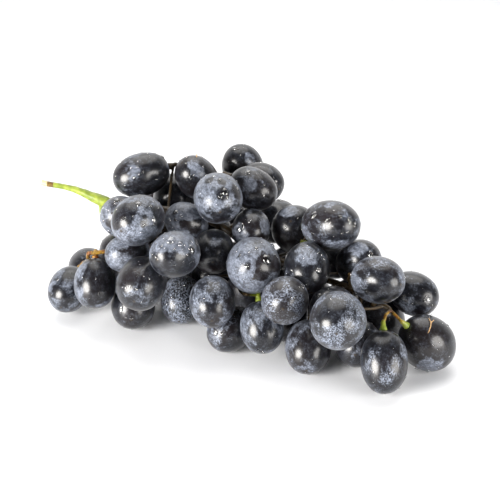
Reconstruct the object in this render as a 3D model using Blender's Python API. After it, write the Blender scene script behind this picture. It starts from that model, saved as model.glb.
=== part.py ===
"""A bunch of black table grapes lying on its side: berries hung on one branching green stem.

The tables are in millimetres and degrees, and the finished objects are in metres. +X runs from the cut
end of the stem to the tip of the bunch, +Z is up, and the bunch rests on the plane z = 0.
"""

import heapq
import math

import bmesh
import bpy
import numpy as np
from mathutils import Vector
from mathutils.kdtree import KDTree

MM = 0.001

# Girth and length of a berry of each size, in mm.
SIZES = {
    "tiny": (17.6, 21.0),
    "small": (19.2, 23.6),
    "medium": (20.4, 25.4),
    "long": (20.4, 27.6),
    "large": (22.2, 27.0),
    "oblong": (22.2, 30.0),
    "huge": (23.8, 27.8),
}
BERRY_SEGMENTS = 12
BERRY_RINGS = 8

CLEARANCE = 0.3  # between one berry and the next, and between a berry and a stem
PEDICEL_RADIUS = 0.8  # the thin stalk of a single berry
PEDICEL_LEAD = 3.0  # how far a pedicel runs straight out from its berry, past its gate
THINNEST = 0.65  # a stalk that squeezes between two berries
PIPE_POWER = 0.36  # how a stalk thickens with the number of berries that hang on it
RECEPTACLE_RADIUS = 1.6  # the swollen end of a pedicel, where the berry sits
RECEPTACLE_LENGTH = 2.4
RECEPTACLE_RIM = (0.7, 0.94)  # how far its rim stands out from the berry, and its share of the radius there
GATE = 2.6  # a branch meets a berry's pedicel this far outside its stem end
KNUCKLE = (1.95, 1.9)  # room kept free for the pedicel: how far out from the stem end, and its radius

SETTLE_ROUNDS = 240
SETTLE_SHARE = 0.8  # the share of an overlap that one round clears
HOME_PULL = 0.02  # share of the way back to its listed place that a berry is drawn in each round
LOOSE = 3.0  # how much more readily an inner berry gives way than an outer one
GOLDEN_STEPS = 14  # steps of the search for the share at which two ellipsoids touch

# Where each berry hangs: x, y, z of its middle, then the compass heading and the pitch of its blossom
# end, and its size. The outer berries show in the bunch's face and hold their places.
OUTER = {
    "shoulder": [
        (-53, -9, 60, -130, -10, "long"),
        (-48, -34, 49, -80, 30, "small"),
        (-30, -48, 57, -90, 0, "large"),
        (-34, 6, 58, -125, 50, "small"),
        (-26, 38, 53, -95, 65, "medium"),
        (-8, 25, 54, -15, 0, "small"),
    ],
    "crown": [
        (-6, -18, 62, -55, -5, "large"),
        (0, 2, 58, 5, -20, "small"),
        (-21, -22, 48, -150, 35, "tiny"),
        (6, -10, 47, -65, -10, "tiny"),
        (-3, -28, 40, -60, 0, "small"),
        (-7, -54, 48, -95, 10, "medium"),
    ],
    "wing": [
        (-38, -46, 38, -125, 0, "tiny"),
        (-53, -32, 30, -55, 25, "tiny"),
        (-71, -47, 12, -75, -20, "small"),
        (-51, -54, 23, -60, -50, "small"),
        (-76, -25, 13, 150, -15, "small"),
        (-37, -44, 11, -60, -5, "medium"),
    ],
    "face": [
        (-21, -60, 33, -70, -10, "large"),
        (-21, -28, 12, -65, -35, "small"),
        (10, -50, 27, -60, -15, "medium"),
        (14, -41, 11, -115, -20, "small"),
        (31, -44, 19, -50, -50, "small"),
        (45, -48, 36, -65, 10, "medium"),
        (21, -33, 40, -60, 0, "huge"),
    ],
    "ridge": [
        (20, 8, 42, -75, 40, "large"),
        (45, -6, 55, -18, 17, "oblong"),
        (43, -24, 41, -60, -20, "medium"),
        (57, -1, 38, -25, 40, "small"),
    ],
    "tip": [
        (77, -23, 43, -15, 10, "medium"),
        (84, 0, 28, -10, -10, "small"),
        (97, -13, 13, 47, -45, "huge"),
        (88, -39, 14, -60, -50, "long"),
        (74, -55, 37, -65, 5, "huge"),
        (52, -39, 11, -65, -25, "medium"),
        (71, -27, 12, -70, 5, "medium"),
    ],
}

# The berries inside, underneath and at the back, which give way to the outer ones.
INNER = {
    "under": [
        (-56, -17, 13, -110, -70, "medium"),
        (-40, -3, 13, 135, -65, "medium"),
        (-19, -6, 13, 140, -75, "medium"),
        (2, -8, 13, 105, -60, "medium"),
        (30, -20, 13, -110, -70, "medium"),
        (30, 3, 13, 90, -45, "medium"),
        (52, -16, 13, -110, -80, "medium"),
        (70, -3, 13, 80, -55, "medium"),
    ],
    "back": [
        (-35, 22, 16, 110, -40, "medium"),
        (-16, 17, 13, 100, -40, "medium"),
        (8, 24, 13, 95, -30, "medium"),
        (51, 8, 13, 85, -40, "medium"),
        (-58, 6, 22, 110, -20, "medium"),
        (-25, 17, 34, 100, 0, "medium"),
        (-3, 31, 32, 90, 0, "medium"),
        (21, 31, 29, 85, 5, "medium"),
        (40, 13, 30, 85, 0, "small"),
        (-54, -8, 32, 150, -60, "small"),
        (-48, 7, 43, 110, 75, "medium"),
        (-60, 20, 36, 120, 20, "tiny"),
    ],
    "core": [
        (-18, -5, 35, 90, 15, "small"),
        (60, -32, 29, -95, 15, "small"),
        (-28, -21, 23, -95, -35, "small"),
    ],
}

# The stalk from its cut end through the middle of the bunch to the tip: x, y, z and radius.
STALK = [
    (-92, -37, 58.5, 1.55),
    (-90, -36, 58.0, 1.4),
    (-78, -30, 55.5, 1.5),
    (-65, -25.5, 50.5, 2.2),
    (-52, -20.5, 49, 2.3),
    (-40, -16, 48, 2.2),
    (-25, -10, 46.5, 2.1),
    (-12, -8.5, 43.5, 2.0),
    (5, -7, 35.5, 1.9),
    (25, -9, 32.5, 1.8),
    (48, -13, 31.5, 1.6),
    (68, -16, 31, 1.4),
    (82, -20, 28.5, 1.2),
]
FIRST_JUNCTION = 3  # the listed point of the stalk where its first side branch leaves

# The big side branch that carries the wing, from the stalk outward.
WING = [
    (-43, -17, 48, 1.5),
    (-41, -28, 42, 1.4),
    (-45, -38, 36.5, 1.2),
    (-50, -47, 36.5, 1.1),
    (-56, -51, 36, 1.0),
]

# Points that the pedicels of some outer berries pass through.
VIA = {
    "berry_ridge_2": (31, -3, 45),
    "berry_ridge_3": (34.5, -14, 48.5),
    "berry_tip_6": (48.5, -31.5, 27),
    "berry_face_5": (23, -43, 31),
}

STALK_STEP = 4.2  # spacing of the points along the finished stalk
STALK_SIDES = 2  # bevel resolution of the stalk: eight sides
TWIG_SIDES = 1  # bevel resolution of the branches: six sides

# The web of gaps between the berries, along which the branches grow.
WEB_SPACING = 3.2
WEB_STEPS = (1.5, 1.0, 0.7, 0.5, 0.35, 0.25, 0.18, 0.12)  # how its points climb to the middle of a gap
WEB_MERGE = 1.8
WEB_REACH = 7.0
WEB_LINKS = 22
WEB_LOWEST = 2.5
WEB_CROWD = (24.0, 2)  # a gap is inside the bunch where the middles of two berries are this near
WEB_NARROWEST = PEDICEL_RADIUS + CLEARANCE + 0.1
SHARED_COST = 0.6  # the part of a grown branch's length that counts for a berry that joins it
RELAX_ROUNDS = 60
RELAX_SHARE = 0.6  # how far a point goes towards the middle of its neighbours in the first rounds
PUSH_SHARE = 0.7  # the share of a tight spot's need that the points on both sides of it move
STRAIGHT = 0.5  # a twig is drawn straight where it bends no more than this
LONGEST = 10.0

GREEN = (0.42, 0.55, 0.08, 1.0)
BLUE_BLACK = (0.02, 0.02, 0.045, 1.0)


# ---------------------------------------------------------------------------- settling the berries


def unit(vectors):
    return vectors / np.linalg.norm(vectors, axis=-1, keepdims=True)


def heading(compass, pitch):
    """The direction with this compass heading and pitch, both in degrees."""
    c, p = math.radians(compass), math.radians(pitch)
    return (math.cos(p) * math.cos(c), math.cos(p) * math.sin(c), math.sin(p))


class Berries:
    """Names, middles, blossom-end directions and semi-axes of all the berries, in mm."""

    def __init__(self):
        self.names, rows, loose = [], [], []
        for group, looseness in ((OUTER, 1.0), (INNER, LOOSE)):
            for region, listed in group.items():
                for number, row in enumerate(listed, 1):
                    self.names.append(f"berry_{region}_{number}")
                    rows.append(row)
                    loose.append(looseness)
        self.middle = np.array([row[:3] for row in rows], float)
        self.axis = np.array([heading(row[3], row[4]) for row in rows])
        self.across = np.array([SIZES[row[5]][0] / 2 for row in rows])
        self.along = np.array([SIZES[row[5]][1] / 2 for row in rows])
        self.loose = np.array(loose)

    def stem_end(self, beyond=0.0):
        """The stem end of each berry, or the point this far outside it."""
        return self.middle - self.axis * (self.along + beyond)[:, None]

    def shape(self, grown):
        """One 3 x 3 matrix of squared semi-axes for each berry, grown by this much all round."""
        across, along = (self.across + grown) ** 2, (self.along + grown) ** 2
        outer = self.axis[:, :, None] * self.axis[:, None, :]
        return across[:, None, None] * np.eye(3) + (along - across)[:, None, None] * outer


def contact_scale(offset, first, second):
    """How far each pair of ellipsoids can be scaled before they touch: under 1 where they overlap."""
    low, high = np.zeros(len(offset)), np.ones(len(offset))
    golden = (math.sqrt(5) - 1) / 2

    def value(share):
        mixed = (1 - share)[:, None, None] * first + share[:, None, None] * second
        solved = np.linalg.solve(mixed, offset[:, :, None])[:, :, 0]
        return share * (1 - share) * (offset * solved).sum(1)

    for _ in range(GOLDEN_STEPS):
        left, right = high - golden * (high - low), low + golden * (high - low)
        rising = value(left) < value(right)
        low, high = np.where(rising, left, low), np.where(rising, high, right)
    return np.sqrt(np.maximum(value((low + high) / 2), 1e-6))


def settle(berries, beads, bead_radii):
    """Pushes the berries apart, off the stalk's beads and off the table, near where they are listed."""
    count = len(berries.names)
    home = berries.middle.copy()
    shapes = np.concatenate(
        [
            berries.shape(CLEARANCE / 2),
            np.tile(np.eye(3) * KNUCKLE[1] ** 2, (count, 1, 1)),
            np.eye(3) * ((bead_radii + CLEARANCE) ** 2)[:, None, None],
        ]
    )
    owner = np.concatenate([np.arange(count), np.arange(count), np.full(len(beads), -1)])
    looseness = np.append(berries.loose, 0.0)
    first, second = np.meshgrid(np.arange(count), np.arange(len(owner)), indexing="ij")
    wanted = (second > first) & (owner[second] != first)
    first, second = first[wanted], second[wanted]
    reach = np.sqrt(np.linalg.eigvalsh(shapes)[:, -1])
    half_height = np.sqrt(berries.shape(0)[:, 2, 2])
    for _ in range(SETTLE_ROUNDS):
        places = np.concatenate([berries.middle, berries.stem_end(KNUCKLE[0]), beads])
        offset = places[second] - places[first]
        near = np.linalg.norm(offset, axis=1) < reach[first] + reach[second]
        one, other, offset = first[near], second[near], offset[near]
        scale = contact_scale(offset, shapes[one], shapes[other])
        touching = scale < 1
        one, other = one[touching], owner[other[touching]]
        push = offset[touching] * (1 / scale[touching] - 1)[:, None]
        total = (looseness[one] + looseness[other])[:, None]
        moved = np.zeros_like(berries.middle)
        np.add.at(moved, one, -push * looseness[one][:, None] / total)
        on_berry = other >= 0
        share = (looseness[other][:, None] / total * push)[on_berry]
        np.add.at(moved, other[on_berry], share)
        berries.middle += SETTLE_SHARE * moved
        berries.middle += HOME_PULL * (home - berries.middle) / berries.loose[:, None]
        berries.middle[:, 2] = np.maximum(berries.middle[:, 2], half_height)


# ------------------------------------------------------------------------------- growing the stem


def smooth_line(points, step, mark=0):
    """Points this far apart on a Catmull-Rom curve through the listed points, and their radii.

    The last value is the place in the line of the listed point with the number mark.
    """
    points = np.array(points, float)
    padded = np.vstack([2 * points[0] - points[1], points, 2 * points[-1] - points[-2]])
    line = []
    for k in range(len(points) - 1):
        before, start, end, after = padded[k : k + 4]
        if k == mark:
            marked = len(line)
        pieces = max(1, round(np.linalg.norm((end - start)[:3]) / step))
        for t in np.arange(pieces) / pieces:
            line.append(
                start
                + 0.5 * t * (end - before)
                + t**2 * (before - 2.5 * start + 2 * end - 0.5 * after)
                + 0.5 * t**3 * (3 * (start - end) + after - before)
            )
    line = np.vstack([line, points[-1]])
    return line[:, :3], line[:, 3], marked


class Space:
    """How far any point is from the nearest berry."""

    def __init__(self, berries):
        self.middle = berries.middle
        self.inverse = np.linalg.inv(berries.shape(0))

    def clearance(self, points):
        """The distance from each point to the nearest berry's skin, and the direction away from it."""
        best = np.full(len(points), np.inf)
        away = np.zeros_like(points)
        for middle, inverse in zip(self.middle, self.inverse):
            offset = points - middle
            stretched = np.sqrt(np.einsum("ni,ij,nj->n", offset, inverse, offset))
            length = np.linalg.norm(offset, axis=1)
            distance = length * (1 - 1 / np.maximum(stretched, 1e-6))
            closer = distance < best
            best[closer] = distance[closer]
            away[closer] = unit(offset[closer] @ inverse)
        return best, away

    def open_between(self, starts, ends):
        """Whether each straight way leaves room for a pedicel between the berries."""
        clear = np.ones(len(starts), bool)
        for share in (0.25, 0.5, 0.75):
            clear &= self.clearance(starts + share * (ends - starts))[0] > WEB_NARROWEST
        return clear


def web_of_gaps(space):
    """Points in the middle of the gaps between the berries."""
    low, high = space.middle.min(0), space.middle.max(0)
    ticks = [np.arange(a, b + WEB_SPACING, WEB_SPACING) for a, b in zip(low, high)]
    points = np.stack(np.meshgrid(*ticks, indexing="ij"), -1).reshape(-1, 3)
    for step in WEB_STEPS:
        points = points + space.clearance(points)[1] * step
    free = space.clearance(points)[0]
    near, needed = WEB_CROWD
    crowd = (np.linalg.norm(points[:, None] - space.middle[None], axis=2) < near).sum(1)
    points = points[(free > WEB_NARROWEST) & (crowd >= needed) & (points[:, 2] > WEB_LOWEST)]
    _, first = np.unique(np.round(points / WEB_MERGE), axis=0, return_index=True)
    return points[np.sort(first)]


def link_up(points, space, single):
    """The open ways from each point to its neighbours, with what each costs.

    A key of single is reached only through its value.
    """
    tree = KDTree(len(points))
    for k, point in enumerate(points):
        tree.insert(point, k)
    tree.balance()
    pairs = {
        (min(k, n), max(k, n))
        for k, point in enumerate(points)
        for _, n, length in tree.find_n(point, WEB_LINKS)
        if n != k and length < WEB_REACH and k not in single and n not in single
    }
    one, other = np.array(sorted(pairs)).T
    clear = space.open_between(points[one], points[other])
    one, other = one[clear], other[clear]
    free = space.clearance(points)[0]
    length = np.linalg.norm(points[one] - points[other], axis=1)
    costs = length * (1 + 1 / np.minimum(free[one], free[other]))
    links = [[] for _ in points]
    for k, n, cost in zip(one.tolist(), other.tolist(), costs.tolist()):
        links[k].append((n, cost))
        links[n].append((k, cost))
    for k, n in single.items():
        links[k].append((n, 1.0))
    return links


def way_to_tree(start, links, grown):
    """The cheapest way from start to a point that has grown, counting part of that point's own way."""
    cost_to, came_from = {start: 0.0}, {}
    queue, best, joint = [(0.0, start)], math.inf, None
    while queue:
        cost, k = heapq.heappop(queue)
        if cost >= best:
            break
        if k in grown and cost + SHARED_COST * grown[k] < best:
            best, joint = cost + SHARED_COST * grown[k], k
        for n, more in links[k]:
            if cost + more < cost_to.get(n, math.inf):
                cost_to[n], came_from[n] = cost + more, k
                heapq.heappush(queue, (cost + more, n))
    way = [joint]
    while joint is not None and way[-1] != start:
        way.append(came_from[way[-1]])
    if joint is not None:
        total = cost_to[joint] + grown[joint]
        grown.update({n: total - cost_to[n] for n in way[1:]})
    return way[::-1]


class Tree:
    """The branches: points in the gaps, each with the next one on its way down to the stalk."""

    def __init__(self, berries, space, trunk):
        gates = berries.stem_end(GATE)
        via = np.array(list(VIA.values()), float)
        self.trunk = len(trunk)
        self.gates = range(self.trunk, self.trunk + len(gates))
        self.points = np.vstack([trunk, gates, via, web_of_gaps(space)])
        first_via = self.gates.stop
        single = {self.gates[berries.names.index(n)]: first_via + k for k, n in enumerate(VIA)}
        self.fixed = set(range(first_via + len(via)))
        links = link_up(self.points, space, single)
        out = [np.linalg.norm(trunk - gate, axis=1).min() for gate in gates]
        self.order = sorted(range(len(gates)), key=lambda k: -out[k])
        grown = dict.fromkeys(range(self.trunk), 0.0)
        self.ways = [way_to_tree(self.gates[k], links, grown) for k in self.order]
        lost = [berries.names[k] for k, way in zip(self.order, self.ways) if way[0] is None]
        if lost:
            raise RuntimeError(f"no way through the gaps to {lost}")
        self.parent = {n: after for way in self.ways for n, after in zip(way, way[1:])}
        self.children, self.load = {}, {}
        for node in self.gates:
            while node in self.parent:
                self.load[node] = self.load.get(node, 0) + 1
                self.children.setdefault(self.parent[node], set()).add(node)
                node = self.parent[node]

    def relax(self, berries, space):
        """Straightens the branches, keeping them off the berries."""
        moving = [n for n in self.children if n not in self.fixed]
        above = [self.parent[n] for n in moving]
        need = np.array([twig_radius(self.load[n]) for n in moving]) + CLEARANCE + 0.1
        ahead = dict(zip(self.gates, berries.stem_end(GATE + PEDICEL_LEAD)))
        for k in range(RELAX_ROUNDS):
            ease = RELAX_SHARE * max(0, 1 - 1.5 * k / RELAX_ROUNDS)
            wanted = []
            for n in moving:
                outward = [ahead.get(c, self.points[c]) for c in self.children[n]]
                wanted.append((self.points[self.parent[n]] + np.mean(outward, axis=0)) / 2)
            self.points[moving] += ease * (np.array(wanted) - self.points[moving])
            free, away = space.clearance(self.points[moving])
            self.points[moving] += away * np.maximum(need - free, 0)[:, None]
            free, away = space.clearance((self.points[moving] + self.points[above]) / 2)
            push = PUSH_SHARE * away * np.maximum(need - free, 0)[:, None]
            self.points[moving] += push
            for n, shift in zip(above, push):
                if n not in self.fixed:
                    self.points[n] += shift

    def twigs(self, berries, space):
        """One (points, radii) from each berry down to the stalk or to the twig that it joins."""
        free = space.clearance(self.points)[0] - CLEARANCE
        rim, slimmer = RECEPTACLE_RIM
        ends = [berries.stem_end(CLEARANCE + out) for out in (0, rim, RECEPTACLE_LENGTH)]
        swell = [RECEPTACLE_RADIUS, slimmer * RECEPTACLE_RADIUS, PEDICEL_RADIUS]
        made = []
        for k, way in zip(self.order, self.ways):
            nodes = way[1:]
            radii = [twig_radius(self.load.get(n, 1)) for n in nodes]
            radii = np.clip(radii, THINNEST, np.maximum(free[nodes], THINNEST))
            radii[-1] = radii[max(0, len(nodes) - 2)]
            forks = [len(self.children[n]) > 1 for n in nodes]
            line = np.vstack([[end[k] for end in ends], self.points[nodes]])
            keep = np.append([True] * len(ends), forks)
            made.append(thin_out(line, np.append(swell, radii), keep, space))
        return made


def thin_out(line, radii, keep, space):
    """Leaves out the points that a tube does without, as it stays nearly straight and clear there."""
    kept = [0]
    for k in range(1, len(line) - 1):
        start, end = line[kept[-1]], line[k + 1]
        length = np.linalg.norm(end - start)
        along = (end - start) / length
        passed = line[kept[-1] + 1 : k + 1] - start
        bend = np.linalg.norm(passed - (passed @ along)[:, None] * along, axis=1).max()
        between = start + np.linspace(0.2, 0.8, 4)[:, None] * (end - start)
        room = space.clearance(between)[0].min() - radii[kept[-1] : k + 2].max()
        if keep[k] or bend > STRAIGHT or length > LONGEST or room < CLEARANCE:
            kept.append(k)
    kept.append(len(line) - 1)
    return line[kept], radii[kept]


def twig_radius(load):
    """The radius of a stalk that carries this many berries."""
    return PEDICEL_RADIUS * load**PIPE_POWER


# ----------------------------------------------------------------------------- making the objects


def vector(values):
    return Vector([float(v) for v in values])


def material(name, colour, roughness):
    made = bpy.data.materials.new(name)
    made.use_nodes = True
    shader = made.node_tree.nodes["Principled BSDF"]
    shader.inputs["Base Color"].default_value = colour
    shader.inputs["Roughness"].default_value = roughness
    shader.inputs["Metallic"].default_value = 0.0
    made.diffuse_color = colour
    return made


def add_berry(name, middle, axis, across, along, skin, collection):
    """An egg of this girth and length, with its blossom end pointing along axis."""
    shape = bmesh.new()
    bmesh.ops.create_uvsphere(shape, u_segments=BERRY_SEGMENTS, v_segments=BERRY_RINGS, radius=1.0)
    bmesh.ops.scale(shape, vec=(across * MM, across * MM, along * MM), verts=shape.verts)
    mesh = bpy.data.meshes.new(name)
    shape.to_mesh(mesh)
    shape.free()
    mesh.shade_smooth()
    mesh.materials.append(skin)
    berry = bpy.data.objects.new(name, mesh)
    collection.objects.link(berry)
    berry.rotation_mode = "QUATERNION"
    berry.rotation_quaternion = vector(axis).to_track_quat("Z", "Y")
    berry.location = vector(middle) * MM
    return berry


def tube(name, points, radii, sides, collection):
    """A closed tube along these points, as a mesh object."""
    curve = bpy.data.curves.new(name, "CURVE")
    curve.dimensions = "3D"
    curve.bevel_depth = MM
    curve.bevel_resolution = sides
    curve.use_fill_caps = True
    spline = curve.splines.new("POLY")
    spline.points.add(len(points) - 1)
    for k, (place, radius) in enumerate(zip(points, radii)):
        spline.points[k].co = (*(place * MM), 1.0)
        spline.points[k].radius = radius
    guide = bpy.data.objects.new(name, curve)
    collection.objects.link(guide)
    graph = bpy.context.evaluated_depsgraph_get()
    mesh = bpy.data.meshes.new_from_object(guide.evaluated_get(graph))
    bpy.data.objects.remove(guide)
    shape = bmesh.new()
    shape.from_mesh(mesh)
    bmesh.ops.remove_doubles(shape, verts=shape.verts, dist=1e-6)
    bmesh.ops.recalc_face_normals(shape, faces=shape.faces)
    shape.to_mesh(mesh)
    shape.free()
    piece = bpy.data.objects.new(name, mesh)
    collection.objects.link(piece)
    return piece


def add_stem(stalk, radii, twigs, bark, parts, cutters):
    """The stalk with every twig joined to it, as one solid."""
    stem = tube("stem", stalk, radii, STALK_SIDES, parts)
    for k, (line, thickness) in enumerate(twigs, 1):
        piece = tube(f"twig_{k}", line, thickness, TWIG_SIDES, cutters)
        piece.hide_render = True
        piece.display_type = "WIRE"
    join = stem.modifiers.new("twigs", "BOOLEAN")
    join.operation = "UNION"
    join.operand_type = "COLLECTION"
    join.collection = cutters
    join.solver = "EXACT"
    stem.data.materials.clear()
    stem.data.materials.append(bark)
    return stem


def stand_on_origin(pieces, guides):
    """Moves everything so that the bunch stands over the origin, at the middle of its footprint."""
    bpy.context.view_layer.update()
    graph = bpy.context.evaluated_depsgraph_get()
    corners = []
    for piece in pieces:
        solid = piece.evaluated_get(graph)
        corners += [piece.matrix_world @ v.co for v in solid.to_mesh().vertices]
        solid.to_mesh_clear()
    low, high = np.min(corners, axis=0), np.max(corners, axis=0)
    middle = (low + high) / 2
    for thing in [*pieces, *guides]:
        thing.location -= vector((middle[0], middle[1], low[2]))


def main():
    for thing in list(bpy.data.objects):
        bpy.data.objects.remove(thing)
    parts = bpy.data.collections.new("bunch_of_grapes")
    cutters = bpy.data.collections.new("twigs")
    bpy.context.scene.collection.children.link(parts)
    bpy.context.scene.collection.children.link(cutters)
    skin = material("grape_skin", BLUE_BLACK, 0.35)
    bark = material("green_stem", GREEN, 0.6)

    stalk, radii, first_node = smooth_line(STALK, STALK_STEP, FIRST_JUNCTION)
    wing, wing_radii, _ = smooth_line(WING, STALK_STEP)
    berries = Berries()
    settle(berries, np.vstack([stalk, wing]), np.append(radii, wing_radii))
    space = Space(berries)
    tree = Tree(berries, space, np.vstack([stalk[first_node:], wing]))
    tree.relax(berries, space)
    twigs = [(wing, wing_radii), *tree.twigs(berries, space)]

    made = [
        add_berry(name, middle, axis, across, along, skin, parts)
        for name, middle, axis, across, along in zip(
            berries.names, berries.middle, berries.axis, berries.across, berries.along
        )
    ]
    made.append(add_stem(stalk, radii, twigs, bark, parts, cutters))
    stand_on_origin(made, cutters.objects)


if __name__ == "__main__":
    main()
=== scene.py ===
"""A bunch of black table grapes lying on its side, with bloom on the skins and beads of water.

Every length in the tables is in millimetres, and every finished mesh is in metres. A place on a berry
is given as it is seen from the front of the bunch: how far to the right and how far up from the middle
of the berry, as shares of its half girth.
"""

import math

import bmesh
import bpy
import numpy as np
from mathutils import Matrix, Vector


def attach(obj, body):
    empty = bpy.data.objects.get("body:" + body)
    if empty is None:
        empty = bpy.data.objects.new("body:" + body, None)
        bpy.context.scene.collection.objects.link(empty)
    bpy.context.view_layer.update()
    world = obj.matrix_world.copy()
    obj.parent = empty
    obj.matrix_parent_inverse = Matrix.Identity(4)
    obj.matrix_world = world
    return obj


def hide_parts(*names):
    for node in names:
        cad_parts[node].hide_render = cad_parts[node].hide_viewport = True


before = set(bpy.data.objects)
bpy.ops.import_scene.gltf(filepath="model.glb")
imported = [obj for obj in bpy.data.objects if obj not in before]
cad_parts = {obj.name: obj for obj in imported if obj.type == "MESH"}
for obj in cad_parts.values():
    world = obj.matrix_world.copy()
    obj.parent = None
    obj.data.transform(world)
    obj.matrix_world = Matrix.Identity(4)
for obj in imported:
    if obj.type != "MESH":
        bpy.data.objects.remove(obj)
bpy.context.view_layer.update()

bl_info = {
    "name": "Bunch of black grapes",
    "version": (1, 0, 0),
    "blender": (4, 5, 0),
    "location": "3D View > Sidebar > Grapes",
    "description": "Dresses the packed bunch in bloomed skins, bark and water, and lights it",
    "category": "Add Mesh",
}

MM = 0.001
CM2_IN_M2 = 1e4
EASED = {"interpolation_type": "SMOOTHSTEP"}  # a range that starts and ends gently
COLOURS = {"data_type": "RGBA"}  # a mix of colours 6 and 7, where input 0 is the share of colour 7
FRONT = (30.0, 25.0)  # compass turn and height, in degrees, of the bunch's front view
VIEW_CENTRE = (-8.24, 11.88, 29.93)  # the point in the bunch that the front view looks at

BERRY_SEGMENTS = 80
BERRY_RINGS = 56
POLE_RINGS = (0.018, 0.04, 0.07, 0.105, 0.145, 0.19)  # extra rings near each end, in radians
ASLANT = (0.31, 0.53, 0.79)  # any direction that no berry's axis follows
EGG = 0.02  # largest share of its girth by which a berry is wider near one end
FULLNESS = (2.03, 2.14)  # how full a berry's outline is, where 2 is a true oval
STEM_DIMPLE = (0.35, 2.2)  # depth and reach of the dimple that the stem sits in
TIP_HOLLOW = (0.12, 1.3)  # depth and reach of the hollow at the blossom end
SCAR_KNOB = (0.16, 0.45)  # height and reach of the dry dot in that hollow
SCAR_COLOUR = (0.55, 1.6)  # reach of its colour, and how many times that far it fades to nothing
SWELLS = 7  # waves that make a berry a little uneven
SWELL_SIZES = (1.3, 3.2)  # their least and greatest length from crest to crest, over a full turn
SWELL_HEIGHT = 4  # their joint height, each being 1 high, that counts as fully uneven
PATTERN_ROOM = 200  # each berry takes its bloom from its own place in a pattern this wide

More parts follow.
